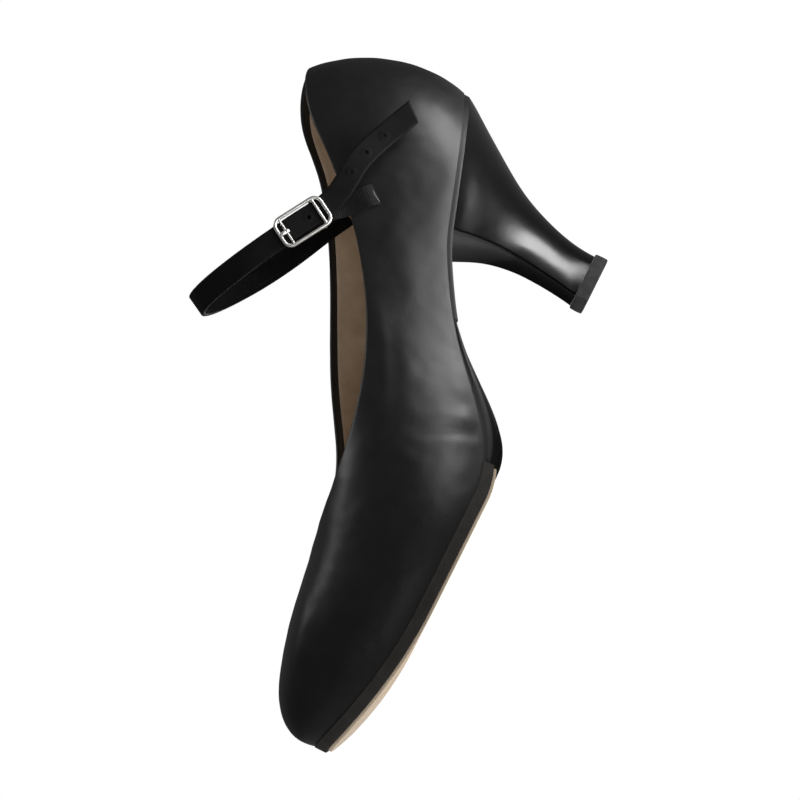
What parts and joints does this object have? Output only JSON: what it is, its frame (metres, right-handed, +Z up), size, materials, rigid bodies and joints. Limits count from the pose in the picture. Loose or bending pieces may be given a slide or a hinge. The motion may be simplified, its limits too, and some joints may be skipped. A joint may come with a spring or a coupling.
{
  "type": "character shoe",
  "caption": "Left character shoe in black leather with a flared heel, split sole, instep strap and small buckle.",
  "frame": {"origin": "middle of the top lift's lower face, on the floor under the heel", "axes": "+X runs along the shoe to the toe, +Y to the outer side of the left foot, +Z up"},
  "size_m": [0.2395, 0.0806, 0.1284],
  "materials": {
    "upper_leather": "smooth black leather, soft semi-matt sheen",
    "strap_leather": "smooth black leather, edge painted",
    "arch_leather": "soft black leather with fine wrinkles",
    "sole_leather": "black painted sole edge",
    "tread_suede": "beige suede, matt nap",
    "insole_leather": "plain tan lining leather",
    "heel_plastic": "high gloss black",
    "lift_rubber": "matt dark grey",
    "elastic": "ribbed black elastic",
    "buckle_metal": "polished nickel"
  },
  "bodies": {
    "root": {"upper": "upper_leather", "forefoot_sole": "sole_leather", "suede_tread": "tread_suede", "arch_panel": "arch_leather", "seat_sole": "sole_leather", "insole": "insole_leather", "heel": "heel_plastic", "top_lift": "lift_rubber", "strap": "strap_leather", "elastic_tab": "elastic", "buckle_frame": "buckle_metal", "buckle_prong": "buckle_metal"}
  },
  "joints": []
}
